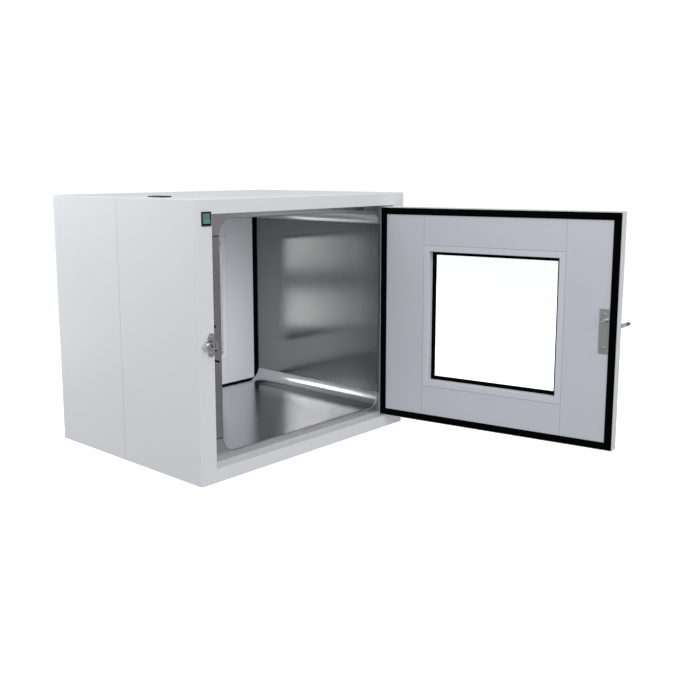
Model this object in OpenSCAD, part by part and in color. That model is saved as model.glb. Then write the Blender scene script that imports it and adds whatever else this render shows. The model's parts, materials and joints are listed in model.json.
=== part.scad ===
// Cleanroom pass box: painted cabinet, coved stainless chamber, two windowed doors, lever latches, interlock.
// Frame: X to the right, Y to the back, Z up. Origin at the middle of the underside. Front face at -Y.

/* [Cabinet] */
// Outer width of the cabinet
cabinet_w = 680; // [660:1:760]
// Outer depth of the cabinet
cabinet_d = 530; // [500:1:640]
// Outer height of the cabinet
cabinet_h = 600; // [590:1:700]
// Sheet thickness of the painted casing
casing_t = 1.5; // [1.2:0.1:2]
// Outside bend radius of the casing
edge_r = 2.5; // [1:0.5:4]
// Width of the face frame at the left and right of the opening
frame_side = 42; // [40:1:50]
// Width of the face frame above and below the opening
frame_end = 31; // [28:1:40]
// Depth of the recess that holds a closed door
recess_d = 36; // [35:1:40]
// Width of the groove where the front and rear casings meet
seam_gap = 0.8; // [0.4:0.1:1.2]
// Distance of that groove behind mid-depth
seam_y = 6; // [5:1:20]

/* [Chamber] */
// Inside width of the chamber
chamber_w = 532; // [500:1:532]
// Inside height of the chamber
chamber_h = 508; // [480:1:510]
// Offset of the chamber to the right, which leaves room for the interlock on the left
chamber_shift = 20; // [18:1:22]
// Radius of the coved corners
cove_r = 34; // [25:1:40]
// Stainless sheet thickness
chamber_t = 1.2; // [1:0.1:1.5]
// Outside radius of the rolled rim
rim_r = 3; // [2.5:0.5:4]

/* [Doors] */
// Gap between a closed door and its opening
door_gap = 3; // [2.5:0.5:4]
// Thickness of a door
door_t = 32; // [30:1:32]
// Sheet thickness of the door skins
skin_t = 1.2; // [1:0.1:1.5]
// Clear size of the square window
window = 320; // [260:1:340]
// Outer size of the window frame's flange
window_frame = 350; // [300:1:370]
// Thickness of the glass
glass_t = 5; // [4:1:6]
// Width of the door gasket
gasket_w = 15; // [12:1:16]
// Height of the door gasket
gasket_t = 3.2; // [2:0.1:3.2]
// How far the front door stands open, in degrees
front_open = 100; // [0:1:108]

/* [Latch and interlock] */
// Latch height above the underside
latch_z = 300; // [280:1:320]
// Turn of the released latch lever from its latched position, in degrees
latch_released = 24; // [24:1:30]
// Height of the interlock tab
tab_z = 329; // [325:1:335]
// Length of the tab in front of its plate
tab_l = 26; // [20:1:28]

/* [Hidden] */

$fn = 48;
eps = 0.01;
over = 5;                                   // how far a cutter runs past a face

// Opening and recess
opening_w = cabinet_w - 2 * frame_side;
opening_h = cabinet_h - 2 * frame_end;
face_y = -cabinet_d / 2;                    // painted front face
land_y = face_y + recess_d;                 // face of the stainless seal land
mid_z = cabinet_h / 2;
seam_flange_w = 14;

// Chamber
chamber_z = mid_z + 1;                      // height of the chamber's centre
chamber_x0 = chamber_shift - chamber_w / 2;
chamber_x1 = chamber_shift + chamber_w / 2;
floor_z = chamber_z - chamber_h / 2;
ceiling_z = chamber_z + chamber_h / 2;
joint_gap = 0.4;                            // visible joint between trays and wall panels

// Doors, in the closed position of the front door
door_w = opening_w - 2 * door_gap;
door_h = opening_h - 2 * door_gap;
door_in_y = face_y + door_t;                // inner face of the closed door
hinge_x = opening_w / 2 - 11;
hinge_y = face_y + 7;
hinge_edge_r = 4;
door_edge_r = 2;
lip_w = 12;
skin_gap = 0.4;
pin_r = 3;
bush_r = 5;
run_fit = 0.05;                             // radial clearance of a running fit
screw_r = 1.9;
flat_head = [3.6, 1];                       // radius and height of a low screw head
bush_l = 12;
thrust_t = door_gap - 0.2;                  // collar that keeps the door off the return
pivot_block = [24, 20, 12];

// Glazing, measured inwards from the outer face
glass_edge = 10;                            // overlap of the glass behind the outer skin
outer_seal_t = 1.8;
inner_seal_t = 4;
glass_y = face_y + skin_t + outer_seal_t;
glass_w = window + 2 * glass_edge;

// Interlock plate on a door's inner face
plate_w = 22;
plate_h = 100;
plate_t = 1.5;
plate_x = -door_w / 2 + 29;
plate_z = 304;
plate_screw_pitch = 74;
tab_t = 2;
tab_root = 13;
tab_tip = 9;
tab_x = -264;                               // edge of the tab nearest the chamber
tab_hole_r = 3;
tab_hole_x = tab_x - 4.5;

// Interlock shaft in the left side cavity, level with the tabs
shaft_r = 5;
shaft_x = -305;
shaft_l = 446;
arm_y = 216;
arm_t = 8;
catch_r = 1.5;
catch_rest = 2.5;                           // space between the tab and the resting catch pin
bracket_y = 150;

// Latch
latch_x = -door_w / 2 + 30;
tongue_l = 52;
lever_l = 85;
latch_base_t = 4;
tongue_out = 4.5;                           // underside of the tongue above the door's face
tongue_t = 4;
bolt_r = 4;
hub_r = 11;
hub_out = 23;                               // outer end of the hub above the door's face
latch_screw_pitch = 46;
knob_r = 8;

// Keeper on the face frame
keeper_x = -opening_w / 2 - 9.5;
ear_pitch = 32.5;
ear_r = 9;
keeper_base_t = 2.5;
keeper_out = 14.5;
keeper_half_h = 8.5;
nose_x = keeper_x - 14;                     // centre of the keeper's round end
keeper_right = keeper_x + 8.5;

// Rocker switch
switch_x = -opening_w / 2 - 14.6;
switch_z = cabinet_h - frame_end - 9.5;
switch_bezel = [25.5, 29.5, 2];
switch_cap = [18.6, 21];
switch_hole = [19.4, 23.2];
switch_wall = 0.9;
switch_throw = 14;
switch_axle_r = 1.5;
switch_pivot_y = face_y + 5;

// Power inlet on the top
inlet_x = -305;
inlet_y = -105;
inlet_flange = [28, 50, 3];
inlet_body = [20, 28, 22];
inlet_screw_pitch = 40;

// Lamp above the ceiling
lamp_cutout = [300, 44];
lamp_box = [330, 64, 26];
lamp_z = ceiling_z + 17;
tube_r = 7.75;
tube_l = 288;

// ---------------------------------------------------------------- helpers

module round_rect(w, h, r) {
    square([w - 2 * r, h], center = true);
    square([w, h - 2 * r], center = true);
    for (sx = [-1, 1], sy = [-1, 1])
        translate([sx * (w / 2 - r), sy * (h / 2 - r)]) circle(r);
}

// Extrusions of a flat shape: along X the shape lies in (y, z), along Y in (x, z), along Z in (x, y)
module along_x(x0, x1) { translate([x0, 0, 0]) rotate([90, 0, 90]) linear_extrude(x1 - x0) children(); }
module along_y(y0, y1) { translate([0, y1, 0]) rotate([90, 0, 0]) linear_extrude(y1 - y0) children(); }
module along_z(z0, z1) { translate([0, 0, z0]) linear_extrude(z1 - z0) children(); }

// A block between two corners
module block(low, high) { translate(low) cube(high - low); }

// A rod along Y
module rod_y(x, z, y0, y1, r) { translate([x, y1, z]) rotate([90, 0, 0]) cylinder(h = y1 - y0, r = r); }

// Flat bar with straight sides that taper from a hub to a round end
module taper_bar(l, half_w, end_r) {
    neck = 0.92 * end_r;
    translate([l, 0]) circle(end_r);
    polygon([[0, half_w], [0, -half_w], [l, -neck], [l, neck]]);
}

module mirrored() { mirror([0, 1, 0]) children(); }

module top_and_bottom() {
    children();
    translate([0, 0, 2 * mid_z]) mirror([0, 0, 1]) children();
}

module both_ends() {
    children();
    mirrored() children();
}

module turned(angle) {
    translate([hinge_x, hinge_y, 0]) rotate([0, 0, angle]) translate([-hinge_x, -hinge_y, 0]) children();
}

// Doors are drawn closed at the front, then turned open or mirrored to the rear
module on_front_door() { turned(front_open) children(); }
module on_rear_door() { mirrored() children(); }

// A screw along Z with the underside of its head at z = 0 and its shank below
module screw(head_r, head_h, shank_l) {
    cylinder(h = head_h / 2, r = head_r);
    translate([0, 0, head_h / 2]) cylinder(h = head_h / 2, r1 = head_r, r2 = 0.6 * head_r);
    translate([0, 0, -shank_l]) cylinder(h = shank_l, r = screw_r);
}

// Turns a piece drawn along Z so that it points out of the front (-Y) or into the chamber (+Y)
module facing_out() { rotate([90, 0, 0]) children(); }
module facing_in() { rotate([-90, 0, 0]) children(); }

// ---------------------------------------------------------------- casing

module casing_block(y1) {
    half_w = cabinet_w / 2;
    intersection() {
        along_y(face_y, y1) translate([0, mid_z]) round_rect(cabinet_w, cabinet_h, edge_r);
        along_z(0, cabinet_h) round_rect(cabinet_w, cabinet_d, edge_r);
        along_x(-half_w, half_w) translate([0, mid_z]) round_rect(cabinet_d, cabinet_h, edge_r);
    }
}

module opening_2d(grow = 0) {
    translate([0, mid_z]) square([opening_w + 2 * grow, opening_h + 2 * grow], center = true);
}

module inner_section_2d(shrink = 0) {
    inset = 2 * (casing_t + shrink);
    translate([0, mid_z]) square([cabinet_w - inset, cabinet_h - inset], center = true);
}

// Sheet-metal half that ends at y1: skin, face frame, returns round the opening and a flange at the seam
module casing_half(y1) {
    difference() {
        union() {
            difference() {
                casing_block(y1);
                along_y(face_y + casing_t, y1 + over) inner_section_2d();
                along_y(face_y - over, land_y) opening_2d();
            }
            along_y(face_y + eps, land_y) difference() {
                opening_2d(casing_t);
                opening_2d();
            }
            along_y(y1 - casing_t, y1) difference() {
                inner_section_2d();
                inner_section_2d(seam_flange_w);
            }
        }
        top_and_bottom() translate([hinge_x, hinge_y, mid_z + opening_h / 2 - over])
            cylinder(h = 2 * over, r = pin_r);
        keeper_screw_places() rod_y(0, 0, face_y - over, face_y + over, screw_r);
    }
}

module front_casing() {
    color([0.87, 0.88, 0.90]) difference() {
        casing_half(seam_y - seam_gap / 2);
        along_y(face_y - over, face_y + over) switch_2d(switch_wall);
        translate([inlet_x, inlet_y, cabinet_h]) cube([inlet_body.x, inlet_body.y, 2 * over], center = true);
        inlet_screw_places() translate([0, 0, cabinet_h - over]) cylinder(h = 2 * over, r = screw_r);
    }
}

module rear_casing() { color([0.87, 0.88, 0.90]) mirrored() casing_half(-seam_y - seam_gap / 2); }

// Pivot pins on blocks that sit behind the returns above and below the door
module hinge_pivots() {
    block_y = face_y + casing_t;
    block_z = mid_z + opening_h / 2 + casing_t;
    pin_z = mid_z + door_h / 2 - bush_l;
    color([0.62, 0.63, 0.65]) top_and_bottom() union() {
        block([hinge_x - 14, block_y, block_z], [hinge_x + 10, block_y + 20, block_z + 12]);
        translate([hinge_x, hinge_y, pin_z]) cylinder(h = block_z + 1 - pin_z, r = pin_r);
    }
}

// ---------------------------------------------------------------- chamber

module chamber_2d(grow = 0) {
    translate([chamber_shift, chamber_z])
        round_rect(chamber_w + 2 * grow, chamber_h + 2 * grow, cove_r + grow);
}

// Section of the rolled rim: a quarter ring that turns the wall into the land
module rim_2d() {
    intersection() {
        translate([rim_r, rim_r]) difference() {
            circle(rim_r);
            circle(rim_r - chamber_t);
        }
        square(rim_r);
    }
}

module rim_corner(sx, sz) {
    half = [chamber_w / 2 - cove_r, chamber_h / 2 - cove_r];
    translate([chamber_shift + sx * half.x, land_y, chamber_z + sz * half.y])
        mirror([sx < 0 ? 1 : 0, 0, 0]) mirror([0, 0, sz > 0 ? 1 : 0]) rotate([-90, 0, 0])
            rotate_extrude(angle = 90) translate([cove_r, 0]) rim_2d();
}

module rim() {
    flat_x0 = chamber_x0 + cove_r;
    flat_x1 = chamber_x1 - cove_r;
    flat_z0 = floor_z + cove_r;
    flat_z1 = ceiling_z - cove_r;
    for (sx = [-1, 1], sz = [-1, 1]) rim_corner(sx, sz);
    along_x(flat_x0, flat_x1) translate([land_y, floor_z]) mirror([0, 1]) rim_2d();
    along_x(flat_x0, flat_x1) translate([land_y, ceiling_z]) rim_2d();
    along_z(flat_z0, flat_z1) translate([chamber_x0, land_y]) mirror([1, 0]) rim_2d();
    along_z(flat_z0, flat_z1) translate([chamber_x1, land_y]) rim_2d();
}

module chamber_shell() {
    along_y(land_y + rim_r, -land_y - rim_r) difference() {
        chamber_2d(chamber_t);
        chamber_2d();
    }
    both_ends() {
        rim();
        along_y(land_y, land_y + chamber_t) difference() {
            opening_2d(casing_t);
            chamber_2d(rim_r);
        }
    }
}

// The part of the chamber shell between two heights and two sides
module chamber_part(x0, x1, z0, z1) {
    intersection() {
        chamber_shell();
        block([x0, -cabinet_d, z0], [x1, cabinet_d, z1]);
    }
}

module floor_tray() {
    color([0.70, 0.71, 0.73])
        chamber_part(-cabinet_w, cabinet_w, 0, floor_z + cove_r - joint_gap / 2);
}

module ceiling_tray() {
    color([0.70, 0.71, 0.73]) difference() {
        chamber_part(-cabinet_w, cabinet_w, ceiling_z - cove_r + joint_gap / 2, cabinet_h);
        translate([chamber_shift, 0, ceiling_z])
            cube([lamp_cutout.x, lamp_cutout.y, 2 * over], center = true);
    }
}

// Slots of the left land: one lets the interlock tab in, the others serve the mechanism behind
module land_slots_2d() {
    translate([tab_x - tab_root / 2, tab_z]) round_rect(18, 6, 2.9);
    translate([tab_x + 1, latch_z - 14.5]) round_rect(4.8, 20, 1.2);
    translate([tab_x - 0.5, latch_z - 45.5]) rotate(-20) round_rect(24, 4, 1.9);
}

module left_wall_panel() {
    color([0.66, 0.67, 0.69]) difference() {
        chamber_part(-cabinet_w, chamber_shift, floor_z + cove_r + joint_gap / 2,
            ceiling_z - cove_r - joint_gap / 2);
        along_y(-cabinet_d, cabinet_d) land_slots_2d();
    }
}

module right_wall_panel() {
    color([0.60, 0.61, 0.63])
        chamber_part(chamber_shift, cabinet_w, floor_z + cove_r + joint_gap / 2,
            ceiling_z - cove_r - joint_gap / 2);
}

// ---------------------------------------------------------------- keeper

module keeper_screw_places() {
    for (s = [-1, 1]) translate([keeper_x, 0, latch_z + s * ear_pitch / 2]) children();
}

// Die-cast keeper: two ears, a round-nosed housing with a mouth for the tongue and two oval windows
module keeper() {
    mouth_y0 = face_y - keeper_out + 4.5;
    mouth_y1 = face_y - keeper_base_t;
    difference() {
        union() {
            along_y(face_y - keeper_base_t, face_y) {
                translate([keeper_x, latch_z]) square([2 * ear_r, ear_pitch], center = true);
                for (s = [-1, 1]) translate([keeper_x, latch_z + s * ear_pitch / 2]) circle(ear_r);
            }
            intersection() {
                along_y(face_y - keeper_out, face_y) {
                    translate([nose_x, latch_z]) circle(keeper_half_h);
                    translate([nose_x, latch_z - keeper_half_h])
                        square([keeper_right - nose_x, 2 * keeper_half_h]);
                }
                along_x(-cabinet_w / 2, 0) translate([face_y, latch_z])
                    round_rect(2 * keeper_out, 2 * keeper_half_h, 4);
                along_z(0, cabinet_h) translate([(nose_x - keeper_half_h + keeper_right) / 2, face_y])
                    round_rect(keeper_right - nose_x + keeper_half_h, 2 * keeper_out, 4);
            }
        }
        block([nose_x - 2, mouth_y0, latch_z - 2 * keeper_half_h],
            [0, mouth_y1, latch_z + 2 * keeper_half_h]);
        along_y(face_y - keeper_out - over, mouth_y0 + eps)
            for (dx = [5, 14]) translate([nose_x + dx, latch_z]) round_rect(4.6, 11, 2.2);
        keeper_screw_places() rod_y(0, 0, face_y - over, face_y + over, screw_r);
    }
}

module front_keeper() { color([0.72, 0.74, 0.77]) keeper(); }
module rear_keeper() { color([0.72, 0.74, 0.77]) mirrored() keeper(); }

module keeper_screws() {
    color([0.5, 0.51, 0.53]) both_ends() keeper_screw_places()
        translate([0, face_y - keeper_base_t, 0]) facing_out() screw(flat_head[0], flat_head[1], 8);
}

// ---------------------------------------------------------------- rocker switch

module switch_2d(grow = 0) {
    translate([switch_x, switch_z])
        square([switch_hole.x + 2 * grow, switch_hole.y + 2 * grow], center = true);
}

module switch_housing() {
    color([0.08, 0.08, 0.09]) difference() {
        union() {
            along_y(face_y - switch_bezel.z, face_y) translate([switch_x, switch_z])
                round_rect(switch_bezel.x, switch_bezel.y, 2);
            along_y(face_y - eps, face_y + 26) switch_2d(switch_wall);
        }
        along_y(face_y - over, face_y + 13) switch_2d();
        along_x(switch_x - switch_cap.x, switch_x + switch_cap.x)
            translate([switch_pivot_y, switch_z]) circle(switch_axle_r + run_fit);
    }
}

// Rocker with a shallow V face, on an axle along X, resting with its upper half pressed in
module switch_rocker() {
    half_w = switch_cap.x / 2;
    half_h = switch_cap.y / 2;
    color([0.16, 0.42, 0.33]) translate([switch_x, switch_pivot_y, switch_z])
        rotate([-switch_throw / 2, 0, 0]) union() {
            along_x(-half_w, half_w)
                polygon([[-7.6, half_h], [-5.8, 0], [-7.6, -half_h], [2, 3 - half_h], [2, half_h - 3]]);
            along_x(-half_w - 1, half_w + 1) circle(switch_axle_r);
        }
}

// ---------------------------------------------------------------- power inlet

module inlet_screw_places() {
    for (s = [-1, 1]) translate([inlet_x, inlet_y + s * inlet_screw_pitch / 2, 0]) children();
}

// Three-blade inlet with a screwed flange, facing up
module power_inlet() {
    top = cabinet_h + inlet_flange.z;
    recess_l = 15;
    color([0.10, 0.10, 0.11]) union() {
        difference() {
            union() {
                along_z(cabinet_h, top) translate([inlet_x, inlet_y])
                    round_rect(inlet_flange.x, inlet_flange.y, 4);
                translate([inlet_x, inlet_y, cabinet_h - inlet_body.z / 2 + eps])
                    cube(inlet_body, center = true);
            }
            along_z(top - recess_l, top + over) translate([inlet_x, inlet_y])
                polygon([[-8, -12], [-8, 12], [4, 12], [8, 8], [8, -8], [4, -12]]);
            inlet_screw_places() translate([0, 0, cabinet_h - over]) cylinder(h = 3 * over, r = screw_r);
        }
        for (pin = [[-3, -7], [1, 0], [-3, 7]])
            translate([inlet_x + pin.x - 2, inlet_y + pin.y - 1, top - recess_l - 1]) cube([4, 2, 13]);
    }
}

module inlet_screws() {
    color([0.5, 0.51, 0.53]) inlet_screw_places()
        translate([0, 0, cabinet_h + inlet_flange.z]) screw(flat_head[0], flat_head[1], 10);
}

// ---------------------------------------------------------------- lamp

// Tray above the ceiling, open downwards, with a flange that rests on the ceiling
module lamp_housing() {
    z0 = ceiling_z + chamber_t;
    wall = 0.8;
    color([0.85, 0.86, 0.88]) translate([chamber_shift, 0, 0]) difference() {
        union() {
            translate([0, 0, z0 + lamp_box.z / 2]) cube(lamp_box, center = true);
            translate([0, 0, z0 + wall / 2]) cube([lamp_box.x + 20, lamp_box.y + 20, wall], center = true);
        }
        translate([0, 0, z0 + lamp_box.z / 2 - wall]) cube(lamp_box - [2 * wall, 2 * wall, 0], center = true);
    }
}

module lamp_holders() {
    top = ceiling_z + chamber_t + lamp_box.z - 0.8;
    color([0.93, 0.93, 0.92]) for (s = [-1, 1]) translate([chamber_shift + s * (tube_l / 2 + 4), 0, 0])
        block([-4, -11, lamp_z - 9], [4, 11, top]);
}

module lamp_tube() {
    color([0.95, 0.96, 0.98]) translate([chamber_shift, 0, lamp_z]) {
        rotate([0, 90, 0]) cylinder(h = tube_l - 16, r = tube_r - 0.25, center = true);
        for (s = [-1, 1]) translate([s * (tube_l / 2 - 5), 0, 0]) rotate([0, 90, 0])
            cylinder(h = 10, r = tube_r, center = true);
    }
}

module lamp_lens() {
    z0 = ceiling_z + chamber_t;
    color([0.85, 0.93, 0.97, 0.5]) block([chamber_shift - 156, -27, z0], [chamber_shift + 156, 27, z0 + 2]);
}

// Driver of the lamp, on the outside of the left wall panel
module lamp_ballast() {
    x1 = chamber_x0 - chamber_t;
    color([0.75, 0.76, 0.78]) union() {
        block([x1 - 28, -10, 440], [x1, 120, 478]);
        block([x1 - 2, -24, 448], [x1, 134, 470]);
    }
}

// ---------------------------------------------------------------- interlock

module interlock_brackets() {
    x1 = chamber_x0 - chamber_t;
    color([0.72, 0.73, 0.75]) both_ends() difference() {
        union() {
            along_y(-bracket_y, 3 - bracket_y) {
                translate([shaft_x, tab_z - 16]) square([x1 - shaft_x, 32]);
                translate([shaft_x, tab_z]) circle(16);
            }
            block([x1 - 3, -bracket_y, tab_z - 22], [x1, 22 - bracket_y, tab_z + 22]);
        }
        rod_y(shaft_x, tab_z, -bracket_y - over, over - bracket_y, shaft_r + 3);
    }
}

module interlock_bushes() {
    color([0.78, 0.60, 0.32]) both_ends() difference() {
        union() {
            rod_y(shaft_x, tab_z, -bracket_y - 2, 8 - bracket_y, shaft_r + 3);
            rod_y(shaft_x, tab_z, -bracket_y - 2, -bracket_y, shaft_r + 6);
        }
        rod_y(shaft_x, tab_z, -bracket_y - over, 2 * over - bracket_y, shaft_r + run_fit);
    }
}

module interlock_shaft() {
    color([0.70, 0.71, 0.73]) rod_y(shaft_x, tab_z, -shaft_l / 2, shaft_l / 2, shaft_r);
}

// Arm clamped on the shaft. It passes under the front door's tab, with a pin that lifts into the tab's hole
module interlock_arm() {
    catch_x = tab_hole_x - shaft_x;
    tip_x = catch_x + 4;
    bar_z = -12;
    color([0.55, 0.56, 0.58]) translate([shaft_x, -arm_y, tab_z]) difference() {
        union() {
            along_y(-arm_t / 2, arm_t / 2)
                polygon([[-8, -6], [4, -6], [12, bar_z], [tip_x, bar_z], [tip_x, bar_z - 7], [2, bar_z - 7]]);
            rod_y(0, 0, -6, 6, 2 * shaft_r);
            along_z(bar_z - 1, -catch_rest - tab_t / 2) translate([catch_x, 0]) circle(catch_r);
        }
        rod_y(0, 0, -2 * over, 2 * over, shaft_r);
    }
}

// The rear arm is the same piece turned over, so a turn that frees one door locks the other
module interlock_arm_rear() {
    translate([0, 0, 2 * tab_z]) mirror([0, 0, 1]) mirrored() interlock_arm();
}

// ---------------------------------------------------------------- doors, drawn closed at the front

module door_block() {
    intersection() {
        along_z(mid_z - door_h / 2, mid_z + door_h / 2) translate([-door_w / 2, face_y]) {
            translate([door_edge_r, 0]) square([door_w - door_edge_r - hinge_edge_r, door_t]);
            translate([0, door_edge_r]) square([door_w / 2, door_t - door_edge_r]);
            translate([door_w / 2, hinge_edge_r]) square([door_w / 2, door_t - hinge_edge_r]);
            translate([door_edge_r, door_edge_r]) circle(door_edge_r);
            translate([door_w - hinge_edge_r, hinge_edge_r]) circle(hinge_edge_r);
        }
        along_x(-door_w / 2, door_w / 2) translate([door_in_y, mid_z])
            round_rect(2 * door_t, door_h, door_edge_r);
    }
}

module frame_2d(outer_w, outer_h, inner_w, inner_h) {
    translate([0, mid_z]) difference() {
        square([outer_w, outer_h], center = true);
        square([inner_w, inner_h], center = true);
    }
}

module latch_screw_places() {
    for (s = [-1, 1]) translate([latch_x, 0, latch_z + s * latch_screw_pitch / 2]) children();
}

module plate_screw_places() {
    for (s = [-1, 1]) translate([plate_x, 0, plate_z + s * plate_screw_pitch / 2]) children();
}

// Folded outer pan with returned lips that carry the inner skins
module door_pan() {
    inner_w = door_w - 2 * skin_t;
    inner_h = door_h - 2 * skin_t;
    lip_y = door_in_y - skin_t;
    color([0.86, 0.87, 0.89]) difference() {
        union() {
            difference() {
                door_block();
                along_y(face_y + skin_t, door_in_y + over) translate([0, mid_z])
                    square([inner_w, inner_h], center = true);
            }
            along_y(lip_y - skin_t, lip_y)
                frame_2d(inner_w, inner_h, inner_w - 2 * lip_w, inner_h - 2 * lip_w);
        }
        along_y(face_y - over, glass_y) translate([0, mid_z]) square(window + 2, center = true);
        top_and_bottom() translate([hinge_x, hinge_y, mid_z + door_h / 2 - over])
            cylinder(h = 2 * over, r = bush_r);
        rod_y(latch_x, latch_z, face_y - over, face_y + over, bolt_r);
        latch_screw_places() rod_y(0, 0, face_y - over, face_y + over, screw_r);
    }
}

// Two C-channels that stand behind the seams of the inner skin
module door_stiffeners() {
    y0 = face_y + skin_t;
    y1 = door_in_y - skin_t;
    inner_h = door_h - 2 * skin_t - 2 * lip_w;
    color([0.72, 0.73, 0.75]) for (s = [-1, 1]) mirror([s < 0 ? 1 : 0, 0, 0])
        along_z(mid_z - inner_h / 2, mid_z + inner_h / 2) translate([glass_w / 2 + 1, 0]) difference() {
            translate([0, y0]) square([18, y1 - y0]);
            translate([skin_t, y0 + skin_t]) square([18, y1 - y0 - 2 * skin_t]);
        }
}

module door_stiles() {
    x0 = window_frame / 2 + skin_gap / 2;
    x1 = door_w / 2 - skin_t;
    half_h = door_h / 2 - skin_t;
    color([0.80, 0.82, 0.85]) difference() {
        for (s = [-1, 1]) mirror([s < 0 ? 1 : 0, 0, 0])
            block([x0, door_in_y - skin_t, mid_z - half_h], [x1, door_in_y, mid_z + half_h]);
        plate_screw_places() rod_y(0, 0, door_in_y - over, door_in_y + over, screw_r);
    }
}

module door_rails() {
    half_w = window_frame / 2 - skin_gap / 2;
    z0 = mid_z + window_frame / 2 + skin_gap / 2;
    z1 = mid_z + door_h / 2 - skin_t;
    color([0.80, 0.82, 0.85]) top_and_bottom()
        block([-half_w, door_in_y - skin_t, z0], [half_w, door_in_y, z1]);
}

// Window frame: a flange flush with the inner skin and a sleeve back to the glass
module window_frame_piece() {
    sleeve_t = 1.5;
    flange = window_frame - skin_gap;
    outer = window + 2 * sleeve_t;
    sleeve_y = glass_y + glass_t + inner_seal_t;
    color([0.86, 0.87, 0.89]) union() {
        along_y(door_in_y - skin_t, door_in_y) frame_2d(flange, flange, window, window);
        along_y(sleeve_y, door_in_y - skin_t + eps) frame_2d(outer, outer, window, window);
    }
}

module window_glass() {
    color([0.80, 0.90, 0.92, 0.35]) along_y(glass_y, glass_y + glass_t)
        translate([0, mid_z]) square(glass_w, center = true);
}

module window_seals() {
    outer_in = window - 2;
    inner_in = window - 18;
    color([0.05, 0.05, 0.05]) {
        along_y(face_y + skin_t, glass_y) frame_2d(glass_w, glass_w, outer_in, outer_in);
        along_y(glass_y + glass_t, glass_y + glass_t + inner_seal_t)
            frame_2d(glass_w, glass_w, inner_in, inner_in);
    }
}

// Gasket: a flat base strip with a raised ridge
module door_gasket() {
    w = door_w - 4;
    h = door_h - 4;
    ridge = 3;
    base_t = gasket_t / 2;
    color([0.05, 0.05, 0.05]) union() {
        along_y(door_in_y, door_in_y + base_t) frame_2d(w, h, w - 2 * gasket_w, h - 2 * gasket_w);
        along_y(door_in_y + base_t - eps, door_in_y + gasket_t)
            frame_2d(w - 2 * ridge, h - 2 * ridge, w - 2 * (gasket_w - ridge), h - 2 * (gasket_w - ridge));
    }
}

module pivot_blocks() {
    corner = [door_w / 2 - skin_t, face_y + skin_t, mid_z + door_h / 2 - skin_t];
    color([0.62, 0.63, 0.65]) top_and_bottom() difference() {
        translate(corner - [pivot_block.x, 0, pivot_block.z]) cube(pivot_block);
        translate([hinge_x, hinge_y, corner.z - 2 * bush_l]) cylinder(h = 3 * bush_l, r = bush_r);
    }
}

module pivot_bushes() {
    top = mid_z + door_h / 2;
    color([0.78, 0.60, 0.32]) top_and_bottom() translate([hinge_x, hinge_y, 0]) difference() {
        union() {
            translate([0, 0, top - bush_l - 1]) cylinder(h = bush_l + 1 + eps, r = bush_r);
            translate([0, 0, top]) cylinder(h = thrust_t, r = 6.5);
        }
        translate([0, 0, top - 2 * bush_l]) cylinder(h = 3 * bush_l, r = pin_r + run_fit);
    }
}

// Stainless plate with a tab that enters the land's slot when the door is closed
module interlock_plate() {
    y1 = door_in_y + plate_t;
    color([0.66, 0.67, 0.69]) difference() {
        union() {
            along_y(door_in_y, y1) translate([plate_x, plate_z]) round_rect(plate_w, plate_h, 2.5);
            along_z(tab_z - tab_t / 2, tab_z + tab_t / 2) difference() {
                polygon([[tab_x - tab_root, y1 - eps], [tab_x, y1 - eps], [tab_x, y1 + tab_l],
                    [tab_x - tab_tip, y1 + tab_l]]);
                translate([tab_hole_x, -arm_y]) circle(tab_hole_r);
            }
        }
        plate_screw_places() rod_y(0, 0, door_in_y - over, y1 + over, screw_r);
        rod_y(plate_x + 8, plate_z + 44, door_in_y - over, y1 + over, screw_r);
        block([plate_x - 9, door_in_y - over, tab_z + 2.5], [plate_x - 2, y1 + over, tab_z + 5.5]);
    }
}

module plate_screws() {
    color([0.75, 0.76, 0.78]) plate_screw_places()
        translate([0, door_in_y + plate_t, 0]) facing_in() screw(4, 2.2, 8);
}

module latch_base() {
    color([0.72, 0.74, 0.77]) difference() {
        union() {
            along_y(face_y - 3, face_y) translate([latch_x, latch_z]) round_rect(30, 62, 6);
            rod_y(latch_x, latch_z, face_y - latch_base_t, face_y - 1, hub_r + 1.5);
        }
        rod_y(latch_x, latch_z, face_y - 2 * over, face_y + over, bolt_r);
        latch_screw_places() rod_y(0, 0, face_y - over, face_y + over, screw_r);
    }
}

// Shoulder bolt that the lever turns on, with its nut inside the door
module latch_bolt() {
    out_y = face_y - hub_out - 0.2;
    color([0.6, 0.61, 0.63]) union() {
        rod_y(latch_x, latch_z, out_y, face_y + skin_t + over, bolt_r);
        rod_y(latch_x, latch_z, out_y - 4, out_y + eps, 6.5);
        rod_y(latch_x, latch_z, face_y + skin_t, face_y + skin_t + over, 7);
    }
}

module latch_screws() {
    color([0.5, 0.51, 0.53]) latch_screw_places()
        translate([0, face_y - 3, 0]) facing_out() screw(flat_head[0], flat_head[1], 8);
}

// One-piece lever: hub, tongue towards the keeper and handle the other way, drawn latched then released
module latch_lever() {
    handle_y0 = face_y - hub_out;
    tongue_y1 = face_y - tongue_out;
    color([0.75, 0.77, 0.80]) translate([latch_x, 0, latch_z]) rotate([0, latch_released, 0]) difference() {
        union() {
            rod_y(0, 0, handle_y0, face_y - latch_base_t - 0.3, hub_r);
            along_y(tongue_y1 - tongue_t, tongue_y1) mirror([1, 0]) taper_bar(tongue_l - 3.5, 6, 3.5);
            along_y(handle_y0, handle_y0 + 7) taper_bar(lever_l - knob_r, hub_r - 1, knob_r - 1);
            rod_y(lever_l - knob_r, 0, handle_y0 - 10, handle_y0 + 7.5, knob_r);
        }
        rod_y(0, 0, handle_y0 - over, face_y, bolt_r + run_fit);
    }
}

// ---------------------------------------------------------------- what is drawn

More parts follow.
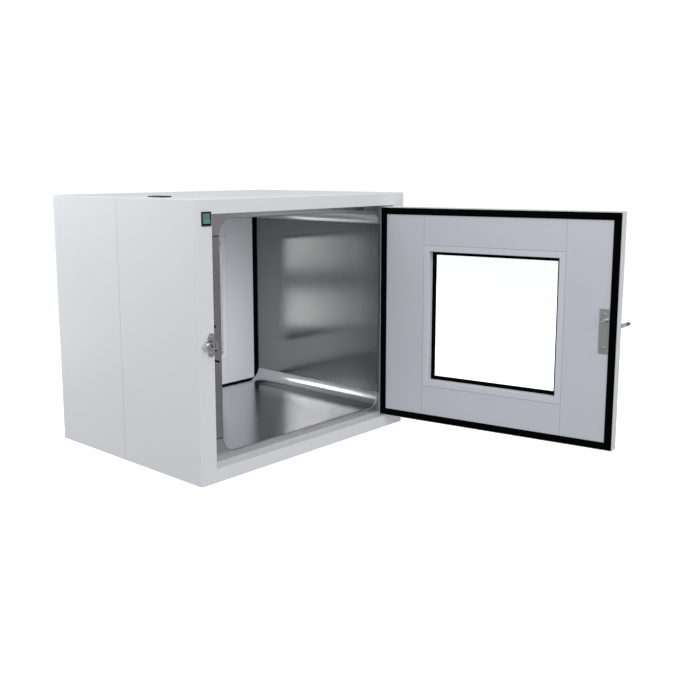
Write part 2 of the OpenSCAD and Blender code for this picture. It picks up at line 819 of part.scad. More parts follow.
front_casing();
rear_casing();
floor_tray();
ceiling_tray();
left_wall_panel();
right_wall_panel();
hinge_pivots();  // front_hinge_pivots
mirrored() hinge_pivots();  // rear_hinge_pivots
front_keeper();
rear_keeper();
keeper_screws();
switch_housing();
switch_rocker();
power_inlet();
inlet_screws();
lamp_housing();
lamp_holders();
lamp_tube();
lamp_lens();
lamp_ballast();
interlock_brackets();
interlock_bushes();
interlock_shaft();
interlock_arm();  // interlock_arm_front
interlock_arm_rear();
on_front_door() door_pan();  // front_door_pan
on_front_door() door_stiffeners();  // front_door_stiffeners
on_front_door() door_stiles();  // front_door_stiles
on_front_door() door_rails();  // front_door_rails
on_front_door() window_frame_piece();  // front_window_frame
on_front_door() window_glass();  // front_window_glass
on_front_door() window_seals();  // front_window_seals
on_front_door() door_gasket();  // front_door_gasket
on_front_door() pivot_blocks();  // front_pivot_blocks
on_front_door() pivot_bushes();  // front_pivot_bushes
on_front_door() interlock_plate();  // front_interlock_plate
on_front_door() plate_screws();  // front_plate_screws
on_front_door() latch_base();  // front_latch_base
on_front_door() latch_bolt();  // front_latch_bolt
on_front_door() latch_screws();  // front_latch_screws
on_front_door() latch_lever();  // front_latch_lever
on_rear_door() door_pan();  // rear_door_pan
on_rear_door() door_stiffeners();  // rear_door_stiffeners
on_rear_door() door_stiles();  // rear_door_stiles
on_rear_door() door_rails();  // rear_door_rails
on_rear_door() window_frame_piece();  // rear_window_frame
on_rear_door() window_glass();  // rear_window_glass
on_rear_door() window_seals();  // rear_window_seals
on_rear_door() door_gasket();  // rear_door_gasket
on_rear_door() pivot_blocks();  // rear_pivot_blocks
on_rear_door() pivot_bushes();  // rear_pivot_bushes
on_rear_door() interlock_plate();  // rear_interlock_plate
on_rear_door() plate_screws();  // rear_plate_screws
on_rear_door() latch_base();  // rear_latch_base
on_rear_door() latch_bolt();  // rear_latch_bolt
on_rear_door() latch_screws();  // rear_latch_screws
on_rear_door() latch_lever();  // rear_latch_lever
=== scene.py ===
"""Cleanroom pass box: its finishes, its small parts, a plain stage and a camera."""

import json
import math

import bmesh
import bpy
from mathutils import Matrix, Vector


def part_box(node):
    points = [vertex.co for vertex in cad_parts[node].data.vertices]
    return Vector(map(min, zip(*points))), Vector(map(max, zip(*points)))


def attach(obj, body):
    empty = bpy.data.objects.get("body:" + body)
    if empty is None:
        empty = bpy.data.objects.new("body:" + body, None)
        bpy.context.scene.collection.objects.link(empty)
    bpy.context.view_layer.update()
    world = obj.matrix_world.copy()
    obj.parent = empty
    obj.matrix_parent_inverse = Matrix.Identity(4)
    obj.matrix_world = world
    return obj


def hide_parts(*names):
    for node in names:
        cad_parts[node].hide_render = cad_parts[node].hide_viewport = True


bl_info = {
    "name": "Pass Box",
    "version": (1, 0, 0),
    "blender": (4, 5, 0),
    "location": "3D View > Sidebar > Pass Box",
    "description": "Dresses the solids of a cleanroom pass box with finishes and small parts",
    "category": "Object",
}

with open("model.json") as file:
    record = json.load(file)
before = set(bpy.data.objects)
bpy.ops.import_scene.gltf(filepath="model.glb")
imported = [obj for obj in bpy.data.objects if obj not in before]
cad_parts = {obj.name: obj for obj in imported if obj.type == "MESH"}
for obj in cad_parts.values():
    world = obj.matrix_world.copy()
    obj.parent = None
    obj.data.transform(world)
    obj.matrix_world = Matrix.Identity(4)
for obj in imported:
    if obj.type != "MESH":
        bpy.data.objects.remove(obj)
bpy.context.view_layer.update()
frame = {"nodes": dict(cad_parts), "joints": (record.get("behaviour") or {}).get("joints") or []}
MM = 0.001
TOUCH = 1e-6  # a point this near a plane lies on it, in metres
MERGE = 5e-6  # points this near each other are one, in metres
HAIR = 0.02  # what a full rounding leaves flat, in millimetres
JOINTS = {joint["name"]: joint for joint in frame["joints"]}
HINGE = Vector(JOINTS["front_door_hinge"]["pos_m"])
DOOR_OPEN = math.radians(-JOINTS["front_door_hinge"]["range_deg"][0])
LATCH_TURN = math.radians(-JOINTS["rear_latch_turn"]["range_deg"][0])
LAND_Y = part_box("floor_tray")[0].y
SENSOR = 36  # width of the camera's sensor, in millimetres
PICTURE = 680  # width of the picture, in pixels
FOCAL = 889.5  # focal length, in pixels


# ---- selecting and finishing meshes

def choose(*objects):
    """Selects these objects alone, in object mode, and makes the first one active."""
    if bpy.context.mode != "OBJECT":
        bpy.ops.object.mode_set(mode="OBJECT")
    bpy.ops.object.select_all(action="DESELECT")
    for piece in objects:
        piece.select_set(True)
    if objects:
        bpy.context.view_layer.objects.active = objects[0]


def made_as(name):
    """The object that the last operator made, under this name, with its size applied."""
    piece = bpy.context.object
    piece.name = name
    bpy.ops.object.transform_apply()
    return piece


def open_mesh(piece, kind="FACE"):
    """Puts a piece in edit mode."""
    choose(piece)
    bpy.ops.object.mode_set(mode="EDIT")
    bpy.ops.mesh.select_mode(type=kind)


def shut_mesh():
    bpy.ops.object.mode_set(mode="OBJECT")


def pick(piece, test, kind="FACE"):
    """In edit mode, selects the faces, edges or vertices for which the test holds."""
    bpy.ops.mesh.select_mode(type=kind)
    bpy.ops.mesh.select_all(action="DESELECT")
    mesh = bmesh.from_edit_mesh(piece.data)
    mesh.normal_update()
    parts = {"FACE": mesh.faces, "EDGE": mesh.edges, "VERT": mesh.verts}[kind]
    chosen = [part for part in parts if test(part)]
    for part in chosen:
        part.select_set(True)
    mesh.select_flush_mode()
    bmesh.update_edit_mesh(piece.data)
    if not chosen:
        raise RuntimeError("nothing to select on " + piece.name)


def centre_of(part):
    """The place of a vertex, or the middle of an edge."""
    if isinstance(part, bmesh.types.BMVert):
        return part.co
    return (part.verts[0].co + part.verts[1].co) / 2


def on_plane(axis, place):
    """A test for vertices or edges on the plane across an axis, at a place in millimetres."""
    return lambda part: abs(centre_of(part)["XYZ".index(axis)] - place * MM) < TOUCH


def beyond(axis, place):
    """A test for vertices or edges past a place on an axis, in millimetres."""
    return lambda part: centre_of(part)["XYZ".index(axis)] > place * MM


def close_mesh(piece, smooth=32):
    """Applies a piece's place and size, and shades it smooth up to an angle in degrees."""
    choose(piece)
    bpy.ops.object.transform_apply()
    bpy.ops.object.shade_smooth_by_angle(angle=math.radians(smooth))


def tidy_normals(piece):
    """Merges points that lie together and turns every face outwards."""
    open_mesh(piece)
    bpy.ops.mesh.select_all(action="SELECT")
    bpy.ops.mesh.remove_doubles(threshold=MERGE)
    bpy.ops.mesh.normals_make_consistent(inside=False)
    shut_mesh()


def apply_modifier(piece, kind, **settings):
    """Adds a modifier with these settings and makes it permanent."""
    choose(piece)
    modifier = piece.modifiers.new(kind.title(), kind)
    for key, value in settings.items():
        setattr(modifier, key, value)
    bpy.ops.object.modifier_apply(modifier=modifier.name)


def soften(piece, width, segments=2, angle=30):
    """Rounds every sharp edge of a piece."""
    apply_modifier(piece, "BEVEL", width=width, segments=segments, limit_method="ANGLE",
                   angle_limit=math.radians(angle), use_clamp_overlap=False, miter_outer="MITER_ARC")


def cut(piece, cutter):
    """Takes one shape out of another and removes the cutter."""
    apply_modifier(piece, "BOOLEAN", operation="DIFFERENCE", solver="EXACT", object=cutter)
    bpy.data.objects.remove(cutter)


def add_to(piece, other):
    """Merges another shape into a piece and removes it."""
    apply_modifier(piece, "BOOLEAN", operation="UNION", solver="EXACT", object=other)
    bpy.data.objects.remove(other)


def box_shape(name, low, high):
    """A box between two corners, given in millimetres."""
    low, high = Vector(low) * MM, Vector(high) * MM
    choose()
    bpy.ops.mesh.primitive_cube_add(size=1, location=(low + high) / 2)
    bpy.context.object.scale = high - low
    return made_as(name)


def rod_shape(name, centre, radius, start, end, axis="Y", sides=48):
    """A round rod along an axis between two places on it, in millimetres."""
    turn = {"X": (0, math.pi / 2, 0), "Y": (-math.pi / 2, 0, 0), "Z": (0, 0, 0)}[axis]
    spot = Vector(centre)
    spot["XYZ".index(axis)] = (start + end) / 2
    choose()
    bpy.ops.mesh.primitive_cylinder_add(vertices=sides, radius=radius * MM, depth=(end - start) * MM,
                                        location=spot * MM, rotation=turn)
    return made_as(name)


def twin(piece, name):
    """A copy with a mesh of its own."""
    made = bpy.data.objects.new(name, piece.data.copy())
    bpy.context.scene.collection.objects.link(made)
    return made


def transformed(piece, matrix):
    """Moves a piece's mesh, with its faces kept outwards when it is mirrored."""
    piece.data.transform(matrix)
    if matrix.determinant() < 0:
        piece.data.flip_normals()
    return piece


def about(point, turn):
    """A turn about a point."""
    return Matrix.Translation(point) @ turn @ Matrix.Translation(-Vector(point))


TO_OPEN_DOOR = about(HINGE, Matrix.Rotation(DOOR_OPEN, 4, "Z"))
TO_REAR = Matrix.Scale(-1, 4, (0, 1, 0))


def closed(node):
    """Corners of a door's CAD node in millimetres, as it would lie on the closed front door."""
    low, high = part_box("rear_" + node)
    return Vector((low.x, -high.y, low.z)) / MM, Vector((high.x, -low.y, high.z)) / MM


def corners(node):
    """Corners of a CAD node in millimetres."""
    low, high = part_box(node)
    return low / MM, high / MM


def parallel(edge, axis):
    """Whether an edge runs along an axis."""
    run = edge.verts[1].co - edge.verts[0].co
    return abs(run["XYZ".index(axis)]) > 0.999 * run.length


def round_edges(piece, radius, test, segments=4):
    """Rounds the edges for which the test holds, by a radius in millimetres."""
    open_mesh(piece, "EDGE")
    pick(piece, test, "EDGE")
    bpy.ops.mesh.bevel(offset=radius * MM, segments=segments, profile=0.5, clamp_overlap=False)
    shut_mesh()
    return piece


def rounded_box(name, low, high, radius, axis="Y", segments=6, test=None):
    """A box whose edges along one axis are rounded."""
    piece = box_shape(name, low, high)
    return round_edges(piece, radius, lambda edge: parallel(edge, axis) and (test is None or test(edge)),
                       segments)


def ring(name, half_x, half_z, middle, y, steps, facing=1):
    """A square ring with mitred corners that faces along Y.

    Each step moves its inner edge inwards and then outwards from the face, in millimetres.
    """
    choose()
    bpy.ops.mesh.primitive_plane_add(size=2, location=(0, y * MM, middle * MM),
                                     rotation=(-facing * math.pi / 2, 0, 0))
    bpy.context.object.scale = (half_x * MM, half_z * MM, 1)
    piece = made_as(name)
    open_mesh(piece)
    bpy.ops.mesh.select_all(action="SELECT")
    for inwards, outwards in steps:
        bpy.ops.mesh.inset(thickness=inwards * MM, depth=outwards * MM)
    bpy.ops.mesh.delete(type="FACE")
    shut_mesh()
    return piece


def back_up(piece, y):
    """Closes a ring with straight sides and a flat back at a place on Y."""
    open_mesh(piece, "EDGE")
    pick(piece, lambda edge: edge.is_boundary, "EDGE")
    bpy.ops.mesh.extrude_region_move(TRANSFORM_OT_translate={"value": (0, 0, 0)})
    bpy.ops.transform.resize(value=(1, 0, 1), center_override=(0, y * MM, 0))
    bpy.ops.mesh.bridge_edge_loops()
    shut_mesh()
    tidy_normals(piece)
    return piece


def joined(name, *pieces):
    """Several closed shapes as one piece."""
    choose(*pieces)
    bpy.ops.object.join()
    piece = bpy.context.object
    piece.name = name
    return piece


def wear(piece, material):
    """Gives a piece one material."""
    piece.data.materials.clear()
    piece.data.materials.append(material)
    return piece


def tie(piece, body, node):
    """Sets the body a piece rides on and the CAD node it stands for."""
    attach(piece, body)
    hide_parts(node)


def both_ends(piece, stem, body, node):
    """Makes the front and the rear copy of a piece that was modelled on the closed front of the box.

    The front copy swings open with its door, unless it sits on the cabinet.
    """
    rear = transformed(twin(piece, "rear_" + stem), TO_REAR)
    piece.name = "front_" + stem
    fixed = body == "cabinet"
    if not fixed:
        transformed(piece, TO_OPEN_DOOR)
    for made, end in ((piece, "front_"), (rear, "rear_")):
        tie(made, body if fixed else end + body, end + node)


# ---- shader maths

class Wire:
    """A shader socket that can be added and multiplied."""

    def __init__(self, finish, socket):
        self.finish = finish
        self.socket = socket

    def __add__(self, other):
        return self.finish.maths("ADD", self, other)

    def __mul__(self, other):
        return self.finish.maths("MULTIPLY", self, other)

    def fade(self, low, high):
        """0 at low, 1 at high, with a smooth step between."""
        return self.finish.node("ShaderNodeMapRange", {"interpolation_type": "SMOOTHSTEP"},
                                {"Value": self, "From Min": low, "From Max": high})


class Finish:
    """A material whose Principled shader is fed by the wires made here."""

    def __init__(self, name):
        self.material = bpy.data.materials.new(name)
        self.material.use_nodes = True
        self.tree = self.material.node_tree
        self.shader = self.tree.nodes["Principled BSDF"]
        self.coordinates = self.node("ShaderNodeTexCoord", output="Object")

    def node(self, kind, settings=None, inputs=None, output=0):
        made = self.tree.nodes.new(kind)
        for key, value in (settings or {}).items():
            setattr(made, key, value)
        for key, value in (inputs or {}).items():
            self.join(value, made.inputs[key])
        return Wire(self, made.outputs[output])

    def join(self, value, socket):
        if isinstance(value, Wire):
            self.tree.links.new(value.socket, socket)
        else:
            socket.default_value = value

    def maths(self, operation, *values):
        return self.node("ShaderNodeMath", {"operation": operation}, dict(enumerate(values)))

    def noise(self, scale, detail=2.0, stretch=(1, 1, 1), roughness=0.5):
        place = self.node("ShaderNodeMapping", None, {"Vector": self.coordinates, "Scale": stretch})
        return self.node("ShaderNodeTexNoise", None,
                         {"Vector": place, "Scale": scale, "Detail": detail, "Roughness": roughness})

    def axis(self, name):
        return self.node("ShaderNodeSeparateXYZ", None, {"Vector": self.coordinates}, output=name)

    def colour(self, factor, first, second):
        """A mix of two colours."""
        made = self.tree.nodes.new("ShaderNodeMix")
        made.data_type = "RGBA"
        self.join(factor, made.inputs["Factor"])
        colours = [socket for socket in made.inputs if socket.type == "RGBA"]
        for socket, value in zip(colours, (first, second)):
            if not isinstance(value, Wire):
                value = (*value, 1.0)
            self.join(value, socket)
        return Wire(self, [socket for socket in made.outputs if socket.type == "RGBA"][0])

    def bump(self, height, distance, strength=1.0, normal=None):
        inputs = {"Height": height, "Distance": distance, "Strength": strength}
        if normal:
            inputs["Normal"] = normal
        return self.node("ShaderNodeBump", None, inputs)

    def edge(self, radius):
        """A normal that rounds every edge a little."""
        return self.node("ShaderNodeBevel", {"samples": 6}, {"Radius": radius})

    def joint_line(self, heights, gap=0.0016, sheet=0.0015):
        """1 along the hairline joints at these heights, on the front and rear lands only."""
        height = self.axis("Z")
        lines = 0
        for middle in heights:
            lines = self.maths("COMPARE", height, middle, gap) + lines
        depth = self.maths("ABSOLUTE", self.axis("Y"))
        return lines * self.maths("COMPARE", depth, -LAND_Y, sheet)

    def set(self, **values):
        for key, value in values.items():
            name = {"specular": "Specular IOR Level", "ior": "IOR"}.get(key, key.replace("_", " ").title())
            if name.endswith("Color") and not isinstance(value, Wire):
                value = (*value[:3], 1.0)
            self.join(value, self.shader.inputs[name])
        return self.material


def shade(colour, amount):
    """A colour made darker or lighter by a factor."""
    return tuple(channel * amount for channel in colour[:3])


def powder_coat(name, colour, peel=0.5):
    """Powder coat: faint orange peel, slight drift in tone and gloss, softened edges."""
    peel_height, edge_r = 0.00002, 0.0006
    gloss, drift = 0.36, 0.12
    f = Finish(name)
    tone = f.noise(2.2, 2).fade(0.3, 0.7)
    cloud = f.noise(35, 3)
    texture = f.noise(520, 2, roughness=0.4)
    normal = f.bump(texture, peel_height, peel, f.edge(edge_r))
    return f.set(Base_Color=f.colour(tone, shade(colour, 0.985), colour),
                 Roughness=cloud * drift + gloss, Normal=normal, specular=0.5)


def satin_steel(name, colour, rough, grain=(1, 40, 1), wave=0.0006, streak=0.12, joints=(), **more):
    """Stainless sheet: fine grain along one way, cloudy gloss and a slight waviness."""
    cloudy, gap = 0.08, (0.02, 0.022, 0.03)
    f = Finish(name)
    fine = f.noise(45, 4, grain, 0.6)
    cloud = f.noise(7, 3)
    wide = f.noise(3.2, 1)
    normal = f.bump(wide, wave, 1.0, f.edge(0.0005))
    normal = f.bump(fine, 0.00001, 0.25, normal)
    tone = f.colour(fine.fade(0.3, 0.7), shade(colour, 0.93), colour)
    if joints:
        tone = f.colour(f.joint_line(joints), tone, gap)
    base = rough - cloudy / 2 - streak / 2
    return f.set(Base_Color=tone, Metallic=1.0, Roughness=cloud * cloudy + (fine * streak + base),
                 Normal=normal, **more)


def cast_plate(name, colour, rough):
    """Plated casting: bright, with a slightly uneven skin."""
    drift = 0.16
    f = Finish(name)
    skin = f.noise(160, 3)
    return f.set(Base_Color=colour, Metallic=1.0, Roughness=skin * drift + (rough - drift / 2),
                 Normal=f.bump(skin, 0.00006, 0.6, f.edge(0.0004)))


def moulded(name, colour, rough, grain=700, depth=0.00003, **more):
    """Moulded plastic or rubber with a fine grain."""
    drift = 0.14
    f = Finish(name)
    skin = f.noise(grain, 2)
    tone = f.colour(f.noise(60, 2).fade(0.35, 0.65), shade(colour, 0.88), colour)
    return f.set(Base_Color=tone, Roughness=skin * drift + (rough - drift / 2),
                 Normal=f.bump(skin, depth, 0.5), **more)


def pane(name, tint, rough=0.02):
    """Clear glass sheet: what is behind shows through, and the surface reflects at a slant."""
    straight, slanted = 0.035, 0.7
    f = Finish(name)
    clear = f.node("ShaderNodeBsdfTransparent", None, {"Color": (*tint, 1.0)})
    smear = f.noise(12, 3)
    f.set(Base_Color=(1, 1, 1), Metallic=1.0, Roughness=smear * 0.03 + rough)
    slant = f.node("ShaderNodeLayerWeight", None, {"Blend": 0.5}, output="Facing")
    glance = slant * slant * slant * slanted + straight
    mix = f.node("ShaderNodeMixShader", None, {0: glance, 1: clear, 2: Wire(f, f.shader.outputs[0])})
    f.tree.links.new(mix.socket, f.tree.nodes["Material Output"].inputs["Surface"])
    return f.material


# ---- settings

class PaintSettings(bpy.types.PropertyGroup):
    paint: bpy.props.FloatVectorProperty(
        name="Paint", description="Colour of the powder coat on the cabinet and doors",
        size=3, subtype="COLOR", default=(0.80, 0.81, 0.83), min=0, max=1)
    # The inner skin's paint is bluer than the cabinet's, and is made darker partly as painted shade for the
    # shade the doors' inner faces stand in.
    inner_skin_and_shade: bpy.props.FloatVectorProperty(
        name="Inner skin", description="Colour of the doors' inner panels",
        size=3, subtype="COLOR", default=(0.63, 0.65, 0.70), min=0, max=1)
    steel: bpy.props.FloatVectorProperty(
        name="Stainless steel", description="Reflected colour of the chamber sheet",
        size=3, subtype="COLOR", default=(0.60, 0.595, 0.60), min=0, max=1)
    rubber: bpy.props.FloatVectorProperty(
        name="Rubber", description="Colour of gaskets and glazing seals",
        size=3, subtype="COLOR", default=(0.0025, 0.0025, 0.003), min=0, max=1)


class PartSettings(bpy.types.PropertyGroup):
    edge: bpy.props.FloatProperty(
        name="Edge radius", description="Rounding of small cast and folded parts",
        default=0.0004, unit="LENGTH", min=0.0001, max=0.001)
    recess: bpy.props.FloatProperty(
        name="Recess width", description="Width of the slots of a cross recess",
        default=0.0011, unit="LENGTH", min=0.0005, max=0.002)


class StageSettings(bpy.types.PropertyGroup):
    lens: bpy.props.FloatProperty(
        name="Lens", description="Focal length in millimetres", default=FOCAL / PICTURE * SENSOR,
        min=10, max=200)
    spot: bpy.props.FloatVectorProperty(
        name="Camera place", description="Where the camera stands",
        size=3, subtype="TRANSLATION", unit="LENGTH", default=(-1.4787, -1.6530, 0.6562))
    yaw: bpy.props.FloatProperty(
        name="Yaw", description="Turn of the camera to the right of +Y, in degrees", default=47.29)
    pitch: bpy.props.FloatProperty(
        name="Pitch", description="Tilt of the camera below the horizon, in degrees", default=8.94)
    roll: bpy.props.FloatProperty(
        name="Roll", description="Roll of the camera, in degrees", default=-0.18)
    shift: bpy.props.FloatVectorProperty(
        name="Shift", description="Shift of the lens, as a share of the picture's width",
        size=2, default=(20 / PICTURE, -30 / PICTURE))
    floor: bpy.props.FloatVectorProperty(
        name="Floor", description="Colour of the floor",
        size=3, subtype="COLOR", default=(0.93, 0.93, 0.93), min=0, max=1)
    room: bpy.props.FloatVectorProperty(
        name="Room", description="Dim light of the room around the lamps",
        size=3, subtype="COLOR", default=(0.47, 0.475, 0.49), min=0, max=1)
    mirrored: bpy.props.FloatVectorProperty(
        name="Mirrored room", description="Brightness of the room as polished steel shows it",
        size=3, subtype="COLOR", default=(0.27, 0.27, 0.275), min=0, max=1)
    overhead: bpy.props.FloatProperty(
        name="Overhead lamp", description="Power in watts", default=48, unit="POWER")
    left: bpy.props.FloatProperty(name="Left lamp", description="Power in watts", default=9, unit="POWER")
    front: bpy.props.FloatProperty(name="Front lamp", description="Power in watts", default=34, unit="POWER")
    back: bpy.props.FloatProperty(name="Back lamp", description="Power in watts", default=20, unit="POWER")
    strip: bpy.props.FloatProperty(name="Back strip", description="Power in watts", default=1.6, unit="POWER")
    sheet: bpy.props.FloatProperty(name="Back sheet", description="Power in watts", default=6.0, unit="POWER")
    inner: bpy.props.FloatProperty(
        name="Chamber lamp", description="Power in watts", default=1.2, unit="POWER")


# ---- operators

class PieceOperator:
    """Shared by the operators."""

    bl_options = {"REGISTER", "UNDO"}

    def dress(self, piece, finish, smooth=32):
        """Gives a shaped piece its finish and its shading."""
        wear(piece, bpy.data.materials[finish])
        close_mesh(piece, smooth)


class PASSBOX_OT_finishes(PieceOperator, bpy.types.Operator):
    """Make every finish and give each CAD node its own"""

    bl_idname = "passbox.finishes"
    bl_label = "Finishes"

    def execute(self, context):
        s = context.scene.passbox_paint
        joints = [corner.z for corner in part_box("left_wall_panel")]
        calm = {"wave": 0.0002, "Anisotropic": 0.85}
        # The window trims wear the inner skin's paint made 1.06 times lighter: painted light on the same
        # paint.
        powder_coat("trim_coat", shade(s.inner_skin_and_shade, 1.06), 0.4)
        # A name that starts with "_" stands for a front and a rear node.
        looks = {
            powder_coat("powder_coat", s.paint): "_casing _door_pan",
            # The inner skins' coat carries painted shade in its darker colour.
            powder_coat("door_skin_coat", s.inner_skin_and_shade, 0.4): "_door_stiles _door_rails _window_frame",
            powder_coat("white_coat", (0.85, 0.85, 0.85)): "lamp_housing lamp_ballast",
            # Both walls wear the chamber's stainless made darker, the right wall to half and the left to 0.85
            # of the sheet's colour: painted shade that dims each wall and its reflections by a different
            # amount.
            satin_steel("wall_steel", shade(s.steel, 0.5), 0.17, **calm): "right_wall_panel",
            satin_steel("side_steel", shade(s.steel, 0.85), 0.2, joints=joints, **calm): "left_wall_panel",
            satin_steel("tray_steel", shade(s.steel, 1.1), 0.23, wave=0.0003): "floor_tray ceiling_tray",
            satin_steel("plate_steel", shade(s.steel, 1.1), 0.36, (12, 12, 0.5), 0.0, 0.06):
                "_interlock_plate",
            cast_plate("zinc_plate", (0.60, 0.61, 0.63), 0.35):
                "_hinge_pivots interlock_brackets interlock_shaft interlock_arm_front interlock_arm_rear"
                " _door_stiffeners _pivot_blocks",
            cast_plate("satin_chrome", (0.72, 0.74, 0.78), 0.20): "_keeper _latch_base _latch_lever",
            cast_plate("bright_steel", (0.66, 0.67, 0.69), 0.22):
                "keeper_screws inlet_screws _plate_screws _latch_bolt _latch_screws",
            cast_plate("sintered_bronze", (0.40, 0.34, 0.26), 0.45): "interlock_bushes _pivot_bushes",
            moulded("gasket_rubber", s.rubber, 0.62, ior=1.12, specular=0.06): "_window_seals _door_gasket",
            moulded("fitting_plastic", (0.009, 0.010, 0.014), 0.38): "switch_housing power_inlet",
            moulded("holder_plastic", (0.85, 0.85, 0.83), 0.4): "lamp_holders",
            moulded("green_lens", (0.12, 0.25, 0.20), 0.12, 60, 0.0, Coat_Weight=0.6): "switch_rocker",
            moulded("lamp_glass", (0.92, 0.93, 0.95), 0.08, 60, 0.0): "lamp_tube",
            pane("frosted_lens", (0.86, 0.89, 0.91), 0.3): "lamp_lens",
            pane("window_glass", (0.985, 0.995, 0.992)): "_window_glass",
        }
        for material, names in looks.items():
            for name in names.split():
                for end in ("front", "rear") if name.startswith("_") else ("",):
                    wear(frame["nodes"][end + name], material)
        return {"FINISHED"}


class PASSBOX_OT_gaskets(PieceOperator, bpy.types.Operator):
    """Model the door gaskets: a flat strip with a rounded double lip and mitred corners"""

    bl_idname = "passbox.gaskets"
    bl_label = "Door gaskets"

    # Each step goes so far inwards across the strip and so far outwards from the door, in millimetres.
    foot = 1.2
    rise = [(0.4, 0.4), (3.3, 0), (0.4, 0.8), (0.6, 0.5), (0.9, 0.25)]
    lip = [(1.3, 0), (0.5, -0.3), (0.5, -0.4)]
    groove = [(0.4, 0)]

    def execute(self, context):
        low, high = closed("door_gasket")
        skin = closed("door_pan")[1].y
        half = (high - low) / 2
        steps = self.rise + self.lip + self.groove + self.mirrored(self.lip) + self.mirrored(self.rise)
        piece = ring("gasket", half.x, half.z, (low.z + high.z) / 2, skin + self.foot, steps)
        back_up(piece, skin)
        self.dress(piece, "gasket_rubber", 40)
        both_ends(piece, "door_gasket_lip", "door", "door_gasket")
        return {"FINISHED"}

    @staticmethod
    def mirrored(steps):
        return [(inwards, -outwards) for inwards, outwards in reversed(steps)]


class PASSBOX_OT_windows(PieceOperator, bpy.types.Operator):
    """Model the glazing: frame with a rolled lip and deep sleeve, rubber seals and toughened glass"""

    bl_idname = "passbox.windows"
    bl_label = "Windows"

    # Sizes in millimetres. Each step goes so far inwards and so far outwards, as on the gaskets.
    frame_sheet = 1.1
    glass_cover = 10
    chamfer = (0.4, 0.4)
    roll = [(0.35, -0.1), (0.35, -0.3), (0.3, -0.5), (0.15, -0.6)]
    inner_bead = [(10.4, 0), (0.5, 0.6), (0.8, 0.3), (4.6, -0.2), (1.2, -0.5), (0.9, -1.0), (0.6, -1.2)]
    outer_lip = [(10.2, 0), (1.0, 0), (0.5, -0.3), (0.3, -0.5)]
    glass_chamfer = 0.6

    def execute(self, context):
        self.frames()
        self.seals()
        self.glass()
        return {"FINISHED"}

    def frames(self):
        low, high = closed("window_frame")
        middle = (low.z + high.z) / 2
        clear = closed("window_glass")[1].x - self.glass_cover
        half = high.x
        flat = half - clear - self.chamfer[0] - sum(inwards for inwards, _ in self.roll)
        drop = sum(outwards for _, outwards in self.roll)
        steps = [self.chamfer, (flat, 0)] + self.roll + [(0, low.y - high.y - drop)]
        piece = ring("window_trim", half, half, middle, high.y - self.chamfer[1], steps)
        apply_modifier(piece, "SOLIDIFY", thickness=self.frame_sheet * MM, offset=-1, use_even_offset=True)
        tidy_normals(piece)
        # The trim wears the lighter copy of the skin paint, with painted light.
        self.dress(piece, "trim_coat", 35)
        both_ends(piece, "window_trim", "door", "window_frame")

    def seals(self):
        low, high = closed("window_seals")
        glass_low, glass_high = closed("window_glass")
        middle = (low.z + high.z) / 2
        half = high.x
        inner = back_up(ring("inner_seal", half, half, middle, high.y, self.inner_bead), glass_high.y)
        outer = back_up(ring("outer_seal", half, half, middle, low.y, self.outer_lip, facing=-1), glass_low.y)
        piece = joined("seals", inner, outer)
        self.dress(piece, "gasket_rubber", 40)
        both_ends(piece, "glazing_seals", "door", "window_seals")

    def glass(self):
        piece = box_shape("pane", *closed("window_glass"))
        soften(piece, self.glass_chamfer * MM, 1)
        self.dress(piece, "window_glass", 20)
        both_ends(piece, "window_pane", "door", "window_glass")


SHANK_R = 1.85
FLAT_HEAD = {"radius": 3.6, "height": 1.0, "shank": 8}
PAN_HEAD = {"radius": 4.0, "height": 2.2, "shank": 7.5}


def cross_screw(name, radius, height, shank, width):
    """A cross-recess screw that faces -Y, with the underside of its head at the origin."""
    head = rod_shape(name, (0, 0, 0), radius, -height, 0, "Y", 40)
    round_edges(head, height * 0.55, on_plane("Y", -height), 4)
    arm = radius * 0.55
    floor = -height * 0.35
    for half_x, half_z in ((width / 2, arm), (arm, width / 2)):
        cut(head, box_shape("slot", (-half_x, -height - 1, -half_z), (half_x, floor, half_z)))
    pin = rod_shape("shank", (0, 0, 0), SHANK_R, -0.1, shank, "Y", 24)
    round_edges(pin, 0.4, beyond("Y", shank - 0.1), 2)
    screw = joined(name, head, pin)
    tidy_normals(screw)
    return screw


def placed(screw, spot, turn, quarter=0, about_axis="Z"):
    """A copy of a screw at a spot, turned on its own axis and then to face another way."""
    spin = Matrix.Rotation(math.radians(turn), 4, "Y")
    face = Matrix.Rotation(quarter * math.pi / 2, 4, about_axis)
    made = twin(screw, screw.name + "_copy")
    return transformed(made, Matrix.Translation(spot * MM) @ face @ spin)


def pair_of(screw, spot, reach, turns, quarter=0, about_axis="Z"):
    """Two copies of a screw, one to each side of a spot, each turned its own way."""
    return [placed(screw, spot + side * reach, turn, quarter, about_axis)
            for side, turn in zip((1, -1), turns)]


